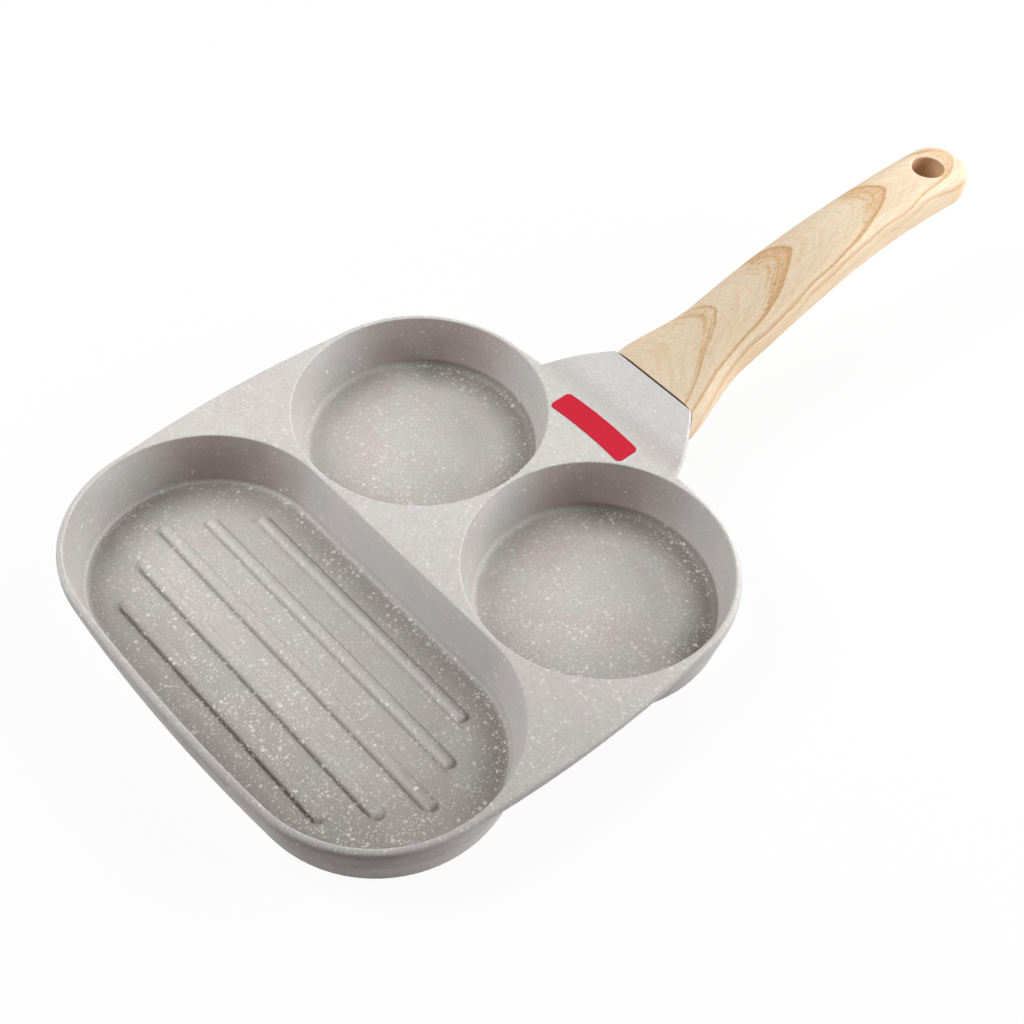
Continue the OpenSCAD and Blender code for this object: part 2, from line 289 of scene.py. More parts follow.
def flecks_group():
    """Scattered grains. Each cell holds one grain, and only a share of them shows."""
    tree, enter, leave = new_group(
        "Flecks",
        [
            ("Vector", VECTOR, None),
            ("Spacing", FLOAT, 0.002),
            ("Share", FLOAT, 0.4),
            ("Size", FLOAT, 0.3),
        ],
        [("Mask", FLOAT)],
    )
    scale = calc(tree, "DIVIDE", 1.0, enter["Spacing"])
    cells = add(tree, "ShaderNodeTexVoronoi", {"Vector": enter["Vector"], "Scale": scale})
    chance = add(tree, "ShaderNodeSeparateColor", {"Color": cells.outputs["Color"]}).outputs
    shown = calc(tree, "LESS_THAN", chance["Red"], enter["Share"])
    size = span(tree, chance["Green"], 0, 1, *GRAIN_SIZES, smooth=False)
    radius = times(tree, enter["Size"], size)
    body = span(tree, cells.outputs["Distance"], radius, times(tree, radius, GRAIN_CORE))
    strength = span(tree, chance["Blue"], 0, 1, *GRAIN_STRENGTHS, smooth=False)
    tree.links.new(times(tree, body, shown, strength), leave["Mask"])
    return tree


def mottle_group():
    """Soft patches of a given size. A lower level covers more of the surface."""
    tree, enter, leave = new_group(
        "Mottle",
        [
            ("Vector", VECTOR, None),
            ("Size", FLOAT, 0.02),
            ("Seed", FLOAT, 0.0),
            ("Softness", FLOAT, 0.12),
            ("Level", FLOAT, 0.5),
        ],
        [("Mask", FLOAT)],
    )
    scale = calc(tree, "DIVIDE", 1.0, enter["Size"])
    field = add(
        tree,
        "ShaderNodeTexNoise",
        {"Vector": enter["Vector"], "W": enter["Seed"], "Scale": scale, "Detail": 1.0},
        noise_dimensions="4D",
    )
    low = calc(tree, "SUBTRACT", enter["Level"], enter["Softness"])
    high = calc(tree, "ADD", enter["Level"], enter["Softness"])
    tree.links.new(span(tree, field.outputs["Fac"], low, high), leave["Mask"])
    return tree


GROUPS = {}


def use(tree, make, inputs):
    """Puts a shared node group into a tree, sets its inputs and returns its first output."""
    if make not in GROUPS:
        GROUPS[make] = make()
    return add(tree, "ShaderNodeGroup", inputs, node_tree=GROUPS[make]).outputs[0]


def flecks(tree, vector, spacing, share_shown, size):
    return use(
        tree,
        flecks_group,
        {"Vector": vector, "Spacing": spacing, "Share": share_shown, "Size": size},
    )


def mottle(tree, vector, size, seed, level=0.5, softness=0.12):
    return use(
        tree,
        mottle_group,
        {"Vector": vector, "Size": size, "Seed": seed, "Level": level, "Softness": softness},
    )


def new_material(name, look):
    """Starts a material. Returns it with its tree, its shader and its coordinates."""
    material = bpy.data.materials.new(name)
    material.use_nodes = True
    tree = material.node_tree
    tree.nodes.clear()
    shader = tree.nodes.new("ShaderNodeBsdfPrincipled")
    shader.inputs["Specular IOR Level"].default_value = look.gloss
    output = tree.nodes.new("ShaderNodeOutputMaterial")
    tree.links.new(shader.outputs["BSDF"], output.inputs["Surface"])
    return material, tree, shader, tree.nodes.new("ShaderNodeTexCoord").outputs


def vary(tree, field, roughness):
    """Roughness that follows a noise, from a little below the set value to a little above."""
    return span(tree, field, *MOST_NOISE, roughness - SMOOTHER, roughness + ROUGHER)


def finish(tree, shader, tone, rough, height, distance):
    """Links a material's colour, roughness and fine relief."""
    tree.links.new(tone, shader.inputs["Base Color"])
    tree.links.new(rough, shader.inputs["Roughness"])
    relief = add(tree, "ShaderNodeBump", {"Height": height, "Distance": distance})
    tree.links.new(relief.outputs["Normal"], shader.inputs["Normal"])


# Coating of the pan body

# Heights and distances on the casting
FLOOR_Z = 3.5 * MM
DECK_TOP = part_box("badge")[1].z
FLOOR_R = 43.3 * MM
RIM_R = 48.5 * MM
WELL_X = 48.7 * MM
WELL_Y = 97.8 * MM

# A rib's foot lies this far in front of its middle line, and each rib ends nearer the middle
# of the pan as its line lies further from the middle of the grill
RIB_PITCH = 15.0 * MM
RIB_FOOT = 2.7 * MM
RIB_REACH = 78.0 * MM
RIB_SHORTER = -0.66
OUTER_RIB = 2.4 * RIB_PITCH

# Level directions
TOWARD_VIEWER = (0.72, -0.69, 0.0)
FROM_LAMPS = (0.66, -0.75, 0.0)
TO_LAMPS = (0.26, 0.97, 0.0)
TO_RIGHT = (0.71, 0.71, 0.0)
BACK_LEFT = (-0.5, 0.87, 0.0)

# Masks: where each starts and where it is full
FACES_UP = (0.35, 0.85)
INSIDE_RIM = (RIM_R + 0.5 * MM, RIM_R)
ABOVE_BASE = (FLOOR_Z - 1.0 * MM, FLOOR_Z - 0.5 * MM)
BELOW_RIBS = (FLOOR_Z + 2.6 * MM, FLOOR_Z + 2.2 * MM)
INSIDE_FOOT = (FLOOR_R, FLOOR_R - 0.6 * MM)
ABOVE_DECK = (DECK_TOP + 0.5 * MM, DECK_TOP + 2.5 * MM)
SHADED_WALL = (0.70, 0.95)
IN_HOLLOW = (FLOOR_Z + 3.8 * MM, FLOOR_Z + 1.8 * MM)
INSIDE_FILLET = (FLOOR_R + 2.4 * MM, FLOOR_R + 2.0 * MM)
CRESCENT_ARC = (0.1, 0.6)
FOOT_ARC = (-0.5, 0.3)
LEFT_WALL = (0.8, 1.0)
RIB_END = (-0.5 * MM, 1.5 * MM)
RIB_LINE = (1.0 * MM, 0.2 * MM)

# Painted light and shade, as slow changes of tone: where each starts, where it is full, and its
# strength at both
RIM_PAINTED_LIGHT = (15 * MM, 26 * MM, 0.0, 0.09)
BACK_WALL_PAINTED_LIGHT = (-60 * MM, -30 * MM, 0.0, 0.20)
LAMP_SIDE_PAINTED_LIGHT = (-0.1 * FLOOR_R, 0.6 * FLOOR_R, 0.0, 0.22)
LEFT_FOOT_PAINTED_LIGHT = (-0.65 * FLOOR_R, -0.95 * FLOOR_R, 0.0, 0.16)
FOOT_PAINTED_SHADE = (0.55 * FLOOR_R, 0.95 * FLOOR_R, 0.0, 0.30)
FRONT_PAINTED_SHADE = (-12 * MM, -22 * MM, 0.0, 0.12)
CRESCENT_PAINTED_SHADOW = (0.62 * FLOOR_R, FLOOR_R, 0.0, 0.70)
CRESCENT_ENDS = (FLOOR_R, FLOOR_R + 2 * MM, 1.0, 0.5)
CORNER_PAINTED_SHADE = (-100 * MM, 70 * MM, 0.0, 0.20)
DECK_CORNER_PAINTED_SHADE = (-10 * MM, 70 * MM, 0.0, 0.12)
NEAR_SIDE_PAINTED_SHADE = (0.0, 0.8 * FLOOR_R, 0.0, 0.15)
LEFT_WALL_PAINTED_SHADE = (8 * MM, 24 * MM, 0.0, 0.26)
RIB_LINE_PAINTED_SHADOW = (35 * MM, -35 * MM, 0.15, 0.45)
GRILL_PAINTED_LIGHT = 0.8
GRILL_CRESCENT_SHADOW = 0.3
PAINTED_SHADE_TONE = (0.09, 0.07, 0.06)
BLACK = (0.0, 0.0, 0.0)
WHITE = (1.0, 1.0, 1.0)

# Patches: seed and level of each kind, and how strongly they show
WARM_PATCHES = (3.0, 0.54)
COOL_PATCHES = (11.0, 0.56)
COOL_SHARE = 0.7
DECK_PATCHY = 0.25
TANG_PATCHY = 0.10
FLOOR_PATCHY = 0.35

# Fine texture: noise scales, the most that the orange peel darkens the tone, how far the
# flecks are moved to make them ragged, and the depth of the relief
PEEL_SCALE = 900
PEEL_DARK = 0.12
CLUSTER_SCALE = 110
WOBBLE_SCALE = 1000
WOBBLE = 1.3 * MM
COATING_RELIEF = 0.06 * MM

# Flecks: how crowded they are against the floors, their sizes as shares of their spacing, and
# their strengths
WALL_CROWD = 0.40
DECK_CROWD = 0.55
CLUSTERS = (0.35, 0.65, 0.35, 1.0)
COARSE_CROWD = 0.85
FINE_SIZE = 0.45
COARSE_SIZE = 0.34
FINE_STRENGTH = 0.56
COARSE_STRENGTH = 0.80
DECK_STRENGTH = 0.75


def from_middle(tree, at):
    """Offset from the middle of the nearest round well, or from the middle line of the grill.

    Also gives its length and a mask of the grill's half of the pan."""
    grill = calc(tree, "LESS_THAN", at["Y"], WELL_Y / 2)
    eggs = rest_of(tree, grill)
    aside = calc(tree, "SUBTRACT", calc(tree, "ABSOLUTE", at["X"]), WELL_X)
    aside = calc(tree, "MAXIMUM", aside, calc(tree, "SUBTRACT", 0.0, eggs))
    x = times(tree, aside, calc(tree, "SIGN", at["X"]))
    y = calc(tree, "MULTIPLY_ADD", eggs, -WELL_Y, at["Y"])
    offset = combine(tree, x, y, 0.0)
    out = add(tree, "ShaderNodeVectorMath", {0: offset}, operation="LENGTH").outputs["Value"]
    return offset, out, grill


def find_spot(tree, place):
    """Where a point of the coating lies: its coordinates, its direction and its masks."""
    here = place["Object"]
    at = separate(tree, here)
    height = at["Z"]
    offset, out, grill = from_middle(tree, at)
    above = span(tree, height, *ABOVE_BASE)
    low = times(tree, span(tree, height, *BELOW_RIBS), above, span(tree, out, *INSIDE_FOOT))
    flat = span(tree, separate(tree, place["Normal"])["Z"], *FACES_UP)
    return SimpleNamespace(
        here=here,
        facing=place["Normal"],
        at=at,
        height=height,
        offset=offset,
        out=out,
        grill=grill,
        above=above,
        low=low,
        high=span(tree, height, *ABOVE_DECK),
        flat=flat,
        upright=times(tree, rest_of(tree, flat), span(tree, out, *INSIDE_RIM)),
    )


def rib_feet_painted_shadow(tree, at):
    """Painted shadow: a thin dark line where each rib meets the floor, on the side away from the
    round wells.
    """
    aside = calc(tree, "ABSOLUTE", at["X"])
    off_middle = calc(tree, "ABSOLUTE", at["Y"])
    end = calc(tree, "MULTIPLY_ADD", off_middle, RIB_SHORTER, RIB_REACH)
    along = span(tree, calc(tree, "SUBTRACT", end, aside), *RIB_END)
    row = calc(tree, "PINGPONG", calc(tree, "ADD", at["Y"], RIB_FOOT), RIB_PITCH / 2)
    line = span(tree, row, *RIB_LINE)
    ribs = calc(tree, "LESS_THAN", off_middle, OUTER_RIB)
    return times(tree, line, along, ribs, span(tree, at["Y"], *RIB_LINE_PAINTED_SHADOW))


def walls_painted_light(tree, spot):
    """Painted light: walls grow paler towards the rim. The grill's are paler all over but for the
    left end.
    """
    rim = span(tree, spot.height, *RIM_PAINTED_LIGHT)
    back = times(tree, spot.grill, span(tree, spot.at["X"], *BACK_WALL_PAINTED_LIGHT))
    return times(tree, spot.upright, calc(tree, "ADD", rim, back))


def floor_painted_light(tree, spot):
    """Painted light: floors are paler on the side of the lamps, and the round ones at their left
    foot too.
    """
    side = span(tree, dot(tree, spot.offset, TO_LAMPS), *LAMP_SIDE_PAINTED_LIGHT)
    side = times(tree, side, between(tree, spot.grill, 1.0, GRILL_PAINTED_LIGHT))
    left = span(tree, dot(tree, spot.offset, TO_RIGHT), *LEFT_FOOT_PAINTED_LIGHT)
    left = times(tree, left, rest_of(tree, spot.grill))
    return times(tree, spot.low, calc(tree, "ADD", side, left))


def foot_painted_shade(tree, spot):
    """Painted shade: the grill's floor darkens at its back and left foot, and along its front."""
    arc = calc(tree, "DIVIDE", dot(tree, spot.offset, BACK_LEFT), spot.out)
    foot = times(tree, span(tree, arc, *FOOT_ARC), span(tree, spot.out, *FOOT_PAINTED_SHADE))
    front = span(tree, spot.at["Y"], *FRONT_PAINTED_SHADE)
    return times(tree, spot.low, spot.grill, calc(tree, "ADD", foot, front))


def crescent_painted_shadow(tree, spot):
    """Painted shadow: a dark crescent at the foot of the walls that keep the back lamps' light off
    the floor.
    """
    arc = calc(tree, "DIVIDE", dot(tree, spot.offset, TO_LAMPS), spot.out)
    hollow = times(tree, span(tree, spot.height, *IN_HOLLOW), spot.above)
    hollow = times(tree, hollow, span(tree, spot.out, *INSIDE_FILLET))
    crescent = times(tree, hollow, span(tree, arc, *CRESCENT_ARC))
    crescent = times(tree, crescent, between(tree, spot.grill, 1.0, GRILL_CRESCENT_SHADOW))
    crescent = times(tree, crescent, span(tree, spot.out, *CRESCENT_PAINTED_SHADOW))
    return times(tree, crescent, span(tree, spot.out, *CRESCENT_ENDS))


def corner_painted_shade(tree, spot):
    """Painted shade: the coating darkens towards the viewer's corner of the pan, and of each floor.
    """
    nearer = dot(tree, spot.here, TOWARD_VIEWER)
    all_over = span(tree, nearer, *CORNER_PAINTED_SHADE)
    flat = times(tree, spot.flat, span(tree, nearer, *DECK_CORNER_PAINTED_SHADE))
    near_side = span(tree, dot(tree, spot.offset, TOWARD_VIEWER), *NEAR_SIDE_PAINTED_SHADE)
    return calc(tree, "ADD", calc(tree, "ADD", all_over, flat), times(tree, spot.low, near_side))


def left_wall_painted_shade(tree, spot):
    """Painted shade: walls on the left of each well darken towards their rim."""
    left = times(tree, spot.upright, span(tree, dot(tree, spot.facing, TO_RIGHT), *LEFT_WALL))
    return times(tree, left, span(tree, spot.height, *LEFT_WALL_PAINTED_SHADE))


# Painted shade of the coating: the sum of all its shading effects
def painted_shade(tree, spot):
    painted_dim = times(tree, spot.low, rib_feet_painted_shadow(tree, spot.at))
    for effect in (foot_painted_shade, crescent_painted_shadow, corner_painted_shade, left_wall_painted_shade):
        painted_dim = calc(tree, "ADD", painted_dim, effect(tree, spot))
    return painted_dim


def tinted(tree, spot, tone, look):
    """Adds the warm and cool patches, strongest on the floors and faintest on the tang."""
    patchy = between(tree, spot.high, DECK_PATCHY, TANG_PATCHY)
    patchy = calc(tree, "MULTIPLY_ADD", spot.low, FLOOR_PATCHY, patchy)
    warm = mottle(tree, spot.here, look.patch_size, *WARM_PATCHES)
    cool = mottle(tree, spot.here, look.patch_size, *COOL_PATCHES)
    tone = mix(tree, times(tree, warm, patchy), tone, tuple(look.rose))
    return mix(tree, times(tree, cool, patchy, COOL_SHARE), tone, tuple(look.sage))


def pale_flecks(tree, spot, clusters, look):
    """Flecks are dense on the wells' floors, fewer on the deck and scarce on the walls."""
    wobble = noise(tree, spot.here, WOBBLE_SCALE, detail=1.0, output="Color")
    wobble = vector_math(tree, "SUBTRACT", wobble, (0.5,) * 3)
    wobble = vector_math(tree, "MULTIPLY", wobble, (WOBBLE,) * 3)
    moved = vector_math(tree, "ADD", spot.here, wobble)
    crowd = between(tree, spot.flat, WALL_CROWD, 1.0)
    crowd = times(tree, crowd, between(tree, spot.low, DECK_CROWD, 1.0))
    crowd = times(tree, crowd, span(tree, clusters, *CLUSTERS))
    fine = flecks(tree, moved, look.fine_spacing, crowd, FINE_SIZE)
    coarse_crowd = times(tree, crowd, COARSE_CROWD)
    coarse = flecks(tree, moved, look.coarse_spacing, coarse_crowd, COARSE_SIZE)
    fine = times(tree, fine, FINE_STRENGTH)
    coarse = times(tree, coarse, COARSE_STRENGTH)
    pale = calc(tree, "MAXIMUM", fine, coarse)
    return times(tree, pale, between(tree, spot.low, DECK_STRENGTH, 1.0))


def coating_material(look):
    """Grey stone coating: warm and cool patches, two sizes of pale flecks, painted light and shade.
    """
    material, tree, shader, place = new_material("stone_coating", look)
    spot = find_spot(tree, place)
    # The tang's paler coating is partly painted light
    tone = mix(tree, spot.high, tuple(look.deck), tuple(look.tang))
    tone = mix(tree, spot.low, tone, tuple(look.floor))
    tone = mix(tree, spot.flat, tuple(look.wall), tone)
    # Painted shade: walls that face away from the lamps take the shaded-wall colour
    shaded = span(tree, dot(tree, spot.facing, FROM_LAMPS), *SHADED_WALL)
    tone = mix(tree, shaded, tone, tuple(look.shade))
    tone = tinted(tree, spot, tone, look)
    peel = noise(tree, spot.here, PEEL_SCALE, roughness=0.6)
    tone = mix(tree, span(tree, peel, *MOST_NOISE, 0.0, PEEL_DARK), tone, BLACK)
    # Painted light on the walls and floors: their tone is mixed towards white
    tone = mix(tree, walls_painted_light(tree, spot), tone, WHITE)
    tone = mix(tree, floor_painted_light(tree, spot), tone, WHITE)
    # Painted shade: the tone is mixed towards a near-black brown
    tone = mix(tree, painted_shade(tree, spot), tone, PAINTED_SHADE_TONE)
    clusters = noise(tree, spot.here, CLUSTER_SCALE, detail=1.0)
    tone = mix(tree, pale_flecks(tree, spot, clusters, look), tone, tuple(look.fleck))
    finish(tree, shader, tone, vary(tree, clusters, look.roughness), peel, COATING_RELIEF)
    return material


# Wood look of the handle

# The handle's own sizes are in mm, and its lengths start at the seam with the tang
SEAM_Y = 171.08
SEAM_Z = 30.69
RISE = math.tan(math.radians(14.5))
STRAIGHT = 57.0
ARCH_R = 313.0
FRONT_HW = 21.1
NECK_HW = 15.7
END_HW = 12.8
NECK_AT = 34.0
SLIM_AT = 129.0

# The hang hole is in metres
HANG = (0.0, 324.58 * MM, 0.0)
HANG_R = 6.5 * MM
HANG_BEVEL = 0.5 * MM

# Heart line of the grain: from and to along the handle, and its place across at both
HEART = (20, 170, -6.5, -1.5)
SWAY_SCALE = 0.03
SWAY = (-1.2, 1.2)

# An arch reaches this share of the handle's half width on the left and on the right, and
# falls back this fast. Past a share of its reach it runs straight down the flank
LEFT_REACH = 11 / 14
RIGHT_REACH = 19 / 16
LEFT_PULL = 9
RIGHT_PULL = 18
STRAIGHT_FROM = 0.93
TIP_R = 1.5
FLANK_SHARE = 0.3
FLANK_FADE = (2, 9, 1.0, 0.25)
WARP_SCALE = (0.04, 0.02, 0.04)
WARP = (0.2, 0.8, -4.0, 4.0)

# Each ring's tip along the handle, the length of its inner shade and its strength
RINGS = (
    (-6, 16, 0.5),
    (38, 20, 0.38),
    (77, 26, 1.0),
    (130, 32, 1.0),
    (168, 16, 0.8),
    (205, 16, 0.6),
)
RING_EDGE = (0.0, 0.7, 1.0, 0.0)
RING_LINE = (-1.6, -0.1)

# Fine figure: scales of each noise in its three directions, and the part of it that is used.
# The nested lines follow the rings, so their first direction is the ring's place
NEST_SCALE = (0.50, 0.03, 0.08)
NEST = (0.47, 0.62)
FIBRE_SCALE = (1.7, 0.08, 1.7)
FIBRES = (0.38, 0.66)
PORE_SCALE = (1.5, 0.36, 1.5)
PORES = (0.56, 0.66)

# Clouds: size, seed, level and softness
CLOUD = (30 * MM, 5.0, 0.5, 0.18)

# How much each of them warms the wood, or darkens it
BAND_WARMTH = 0.62
FIBRE_WARMTH = 0.33
CLOUD_WARMTH = 0.10
NEST_WARMTH = (0.0, 0.5, 0.20, 0.75)
# Painted shade: the flanks warm and lose light further down the sides
FLANK_PAINTED_SHADE = (1, 0.25, 0.0, 0.13)
FRONT_WARMTH = (90, 20, 0.0, 0.05)
# Painted shade: the handle's end is warmed and greyed
END_PAINTED_SHADE = (150, 172, 0.0, 0.30)
END_PAINTED_GREY = (155, 172, 0.0, 0.16)
SHADE_GREY = (0.40, 0.42, 0.44)
LINE_STRENGTH = 0.6
PORE_STRENGTH = (0.0, 0.5, 0.08, 0.50)
FIBRE_ROUGHER = 0.08
WOOD_SMOOTHER = 0.03
HANDLE_RELIEF = 0.03 * MM

# The handle's front face takes painted seam shade this near the seam and this high up
SEAM_FACE = (0.95, 0.7)
SEAM_TOP = (SEAM_Z - 3.5, SEAM_Z - 2.0)


def depth_below_top(tree, along, height):
    """How far a point lies below the line of the handle's top: a straight rise, then an arch."""
    past = calc(tree, "MAXIMUM", calc(tree, "SUBTRACT", along, STRAIGHT), 0.0)
    rise = calc(tree, "MULTIPLY_ADD", along, RISE, SEAM_Z)
    drop = calc(tree, "DIVIDE", times(tree, past, past), 2 * ARCH_R)
    depth = calc(tree, "SUBTRACT", calc(tree, "SUBTRACT", rise, drop), height)
    return calc(tree, "MAXIMUM", depth, 0.0)


def half_width(tree, along):
    neck = span(tree, along, 0, NECK_AT, FRONT_HW, NECK_HW)
    return calc(tree, "ADD", neck, span(tree, along, NECK_AT, SLIM_AT, 0, END_HW - NECK_HW))


def off_heart(tree, along, x):
    """Distance across the handle from the grain's heart line, which sways a little."""
    sway_at = combine(tree, 0, times(tree, along, SWAY_SCALE), 0)
    sway = noise(tree, sway_at, 1.0, detail=1.0)
    heart = span(tree, along, *HEART, smooth=False)
    heart = calc(tree, "ADD", heart, span(tree, sway, *MOST_NOISE, *SWAY, smooth=False))
    return calc(tree, "SUBTRACT", x, heart)


def growth_field(tree, here):
    """Distance in mm along the handle of the tip of the growth ring through this point.

    A ring is an arch about the heart line: it falls back towards the seam on both sides and
    runs almost straight down the handle's flanks. Also gives the point in mm, how steep the
    ring is there, and a mask that fades the rings down the flanks."""
    part = vector_math(tree, "MULTIPLY", here, (1 / MM,) * 3)
    at = separate(tree, part)
    along = calc(tree, "SUBTRACT", at["Y"], SEAM_Y)
    depth = depth_below_top(tree, along, at["Z"])
    across = off_heart(tree, along, at["X"])
    right = calc(tree, "GREATER_THAN", across, 0.0)
    reach = span(tree, right, 0, 1, LEFT_REACH, RIGHT_REACH, smooth=False)
    reach = times(tree, half_width(tree, along), reach)
    pull = span(tree, right, 0, 1, LEFT_PULL, RIGHT_PULL, smooth=False)
    blunt = calc(tree, "SQRT", calc(tree, "MULTIPLY_ADD", across, across, TIP_R * TIP_R))
    away = calc(tree, "MULTIPLY_ADD", depth, FLANK_SHARE, calc(tree, "SUBTRACT", blunt, TIP_R))
    ratio = calc(tree, "DIVIDE", away, reach)
    near = calc(tree, "MINIMUM", ratio, STRAIGHT_FROM)
    rest = rest_of(tree, near)
    beyond = calc(tree, "DIVIDE", calc(tree, "SUBTRACT", ratio, near), 1 - STRAIGHT_FROM)
    fall = calc(tree, "SUBTRACT", beyond, calc(tree, "LOGARITHM", rest, math.e))
    growth = calc(tree, "MULTIPLY_ADD", fall, pull, along)
    warp = noise(tree, vector_math(tree, "MULTIPLY", part, WARP_SCALE), 1.0, detail=1.0)
    growth = calc(tree, "ADD", growth, span(tree, warp, *WARP, smooth=False))
    slope = calc(tree, "DIVIDE", pull, times(tree, reach, rest))
    steep = calc(tree, "SQRT", calc(tree, "MULTIPLY_ADD", slope, slope, 1.0))
    fade = span(tree, depth, *FLANK_FADE)
    return SimpleNamespace(part=part, at=at, along=along, growth=growth, steep=steep, fade=fade)


def ring_marks(tree, grain):
    """Soft shade that leads up to each ring, and the ring's dark line."""
    bands = 0.0
    lines = 0.0
    for tip, width, strength in RINGS:
        past_tip = calc(tree, "SUBTRACT", grain.growth, tip)
        inside = calc(tree, "DIVIDE", past_tip, grain.steep)
        edge = span(tree, inside, *RING_EDGE)
        shade = span(tree, times(tree, past_tip, grain.steep), -width, 0.0, 0.0, strength)
        line = span(tree, inside, *RING_LINE, 0.0, strength)
        bands = calc(tree, "MAXIMUM", bands, times(tree, shade, edge))
        lines = calc(tree, "MAXIMUM", lines, times(tree, line, edge))
    return times(tree, bands, grain.fade), times(tree, lines, grain.fade)


def wood_warmth(tree, here, grain, bands, fibres):
    """How far the wood goes from its pale tone towards honey, with painted shade down the flanks and
    at the end.
    """
    nest_at = combine(tree, grain.growth, grain.along, grain.at["X"])
    nest_at = vector_math(tree, "MULTIPLY", nest_at, NEST_SCALE)
    nest = noise(tree, nest_at, 1.0, roughness=0.6)
    nest = times(tree, span(tree, nest, *NEST), span(tree, bands, *NEST_WARMTH))
    warm = calc(tree, "MULTIPLY_ADD", bands, BAND_WARMTH, nest)
    warm = calc(tree, "MULTIPLY_ADD", fibres, FIBRE_WARMTH, warm)
    warm = calc(tree, "MULTIPLY_ADD", mottle(tree, here, *CLOUD), CLOUD_WARMTH, warm)
    # Painted shade down the flanks
    warm = calc(tree, "ADD", warm, span(tree, grain.fade, *FLANK_PAINTED_SHADE))
    warm = calc(tree, "ADD", warm, span(tree, grain.along, *FRONT_WARMTH))
    # Painted shade at the end
    warm = calc(tree, "ADD", warm, span(tree, grain.along, *END_PAINTED_SHADE))
    return calc(tree, "MINIMUM", warm, 1.0)


def handle_material(look):
    """Pale ash print: arched rings, thin lines nested inside them, fibres and short pores."""
    material, tree, shader, place = new_material("wood_look", look)
    here = place["Object"]
    grain = growth_field(tree, here)
    bands, lines = ring_marks(tree, grain)
    fibre_at = vector_math(tree, "MULTIPLY", grain.part, FIBRE_SCALE)
    fibres = span(tree, noise(tree, fibre_at, 1.0, detail=3.0, roughness=0.7), *FIBRES)
    pore_at = vector_math(tree, "MULTIPLY", grain.part, PORE_SCALE)
    pores = span(tree, noise(tree, pore_at, 1.0, detail=1.0), *PORES)
    pores = times(tree, pores, span(tree, bands, *PORE_STRENGTH))
    warm = wood_warmth(tree, here, grain, bands, fibres)
    tone = mix(tree, warm, tuple(look.pale), tuple(look.honey))
    tone = mix(tree, times(tree, lines, LINE_STRENGTH), tone, tuple(look.ring))
    tone = mix(tree, pores, tone, tuple(look.pore))
    # Painted shade: the end greys
    tone = mix(tree, span(tree, grain.along, *END_PAINTED_GREY), tone, SHADE_GREY)
    level = vector_math(tree, "MULTIPLY", here, (1, 1, 0))
    off_hole = add(tree, "ShaderNodeVectorMath", {0: level, 1: HANG}, operation="DISTANCE")
    bore = span(tree, off_hole.outputs["Value"], HANG_R + HANG_BEVEL, HANG_R)
    tone = mix(tree, bore, tone, tuple(look.hole))
    # Painted shade in the seam with the tang
    face = times(tree, span(tree, grain.along, *SEAM_FACE), span(tree, grain.at["Z"], *SEAM_TOP))
    tone = mix(tree, face, tone, tuple(look.seam))
    rough = calc(tree, "MULTIPLY_ADD", fibres, FIBRE_ROUGHER, look.roughness - WOOD_SMOOTHER)
    finish(tree, shader, tone, rough, fibres, HANDLE_RELIEF)
    return material


# Badge and screw

# Heights of the enamel's rim that takes painted shade, size and seed of its clouds, and its fine
# texture
ENAMEL_RIM_SHADE = (DECK_TOP - 0.30 * MM, DECK_TOP - 0.05 * MM)
ENAMEL_FLOW = (20 * MM, 2.0)
FLOW_DARK = 0.15
RIPPLE_SCALE = 700
ENAMEL_RELIEF = 0.03 * MM
RUB_SCALE = 3000
STEEL_RELIEF = 0.005 * MM


def enamel_material(look):
    """Red enamel, a little deeper in tone at its rim as painted shade, with a faint ripple."""
    material, tree, shader, place = new_material("red_enamel", look)
    here = place["Object"]
    height = separate(tree, here)["Z"]
    # Painted shade at the rim
    tone = mix(tree, span(tree, height, *ENAMEL_RIM_SHADE), tuple(look.edge), tuple(look.enamel))
    flow = times(tree, mottle(tree, here, *ENAMEL_FLOW), FLOW_DARK)
    tone = mix(tree, flow, tone, tuple(look.edge))
    ripple = noise(tree, here, RIPPLE_SCALE)
    finish(tree, shader, tone, vary(tree, ripple, look.roughness), ripple, ENAMEL_RELIEF)
    return material


def steel_material(look):
    """Plain steel with a fine grain."""
    material, tree, shader, place = new_material("screw_steel", look)
    rub = noise(tree, place["Object"], RUB_SCALE, detail=3.0)
    tone = mix(tree, rub, tuple(look.dark), tuple(look.pale))
    rough = span(tree, rub, *MOST_NOISE, look.smoothest, look.roughest)
    shader.inputs["Metallic"].default_value = 1.0
    finish(tree, shader, tone, rough, rub, STEEL_RELIEF)
    return material


# Meshes

# Points this close are one, and faces that meet at more than this angle keep their edge
WELD = 0.002 * MM
REAL_EDGE = math.radians(34)


